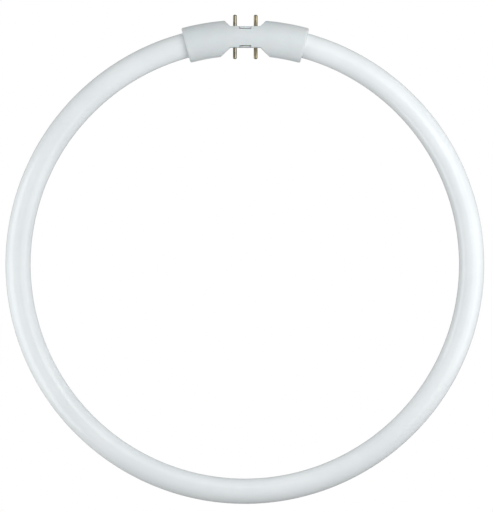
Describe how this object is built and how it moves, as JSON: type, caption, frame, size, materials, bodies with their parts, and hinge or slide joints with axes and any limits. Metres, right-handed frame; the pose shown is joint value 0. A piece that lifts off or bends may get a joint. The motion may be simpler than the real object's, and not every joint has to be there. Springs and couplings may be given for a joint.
{
  "type": "circular fluorescent lamp tube",
  "caption": "Ring-shaped fluorescent lamp tube with a white two-part plastic cap and brass contact pins on both sides of its neck.",
  "frame": {"origin": "middle of the four contact pins, on the mid-plane of the ring; the ring's centre is at (0, -142.6 mm, 0)", "axes": "+Y radially outwards from the ring's centre through the cap, +Z the ring's axis towards the front of the lamp, +X to the right seen from the front"},
  "size_m": [0.3, 0.3065, 0.0224],
  "materials": {
    "coated_glass": "glossy glass, white powder coating inside, opaque",
    "cap_plastic": "satin moulded plastic",
    "pin_brass": "turned, slightly dull",
    "lead_wire": "tinned wire"
  },
  "bodies": {
    "root": {"glass_tube": "coated_glass", "cap_front_shell": "cap_plastic", "cap_back_shell": "cap_plastic", "pin_outer_left": "pin_brass", "pin_outer_right": "pin_brass", "pin_inner_left": "pin_brass", "pin_inner_right": "pin_brass", "lead_outer_left": "lead_wire", "lead_outer_right": "lead_wire", "lead_inner_left": "lead_wire", "lead_inner_right": "lead_wire"}
  },
  "joints": []
}
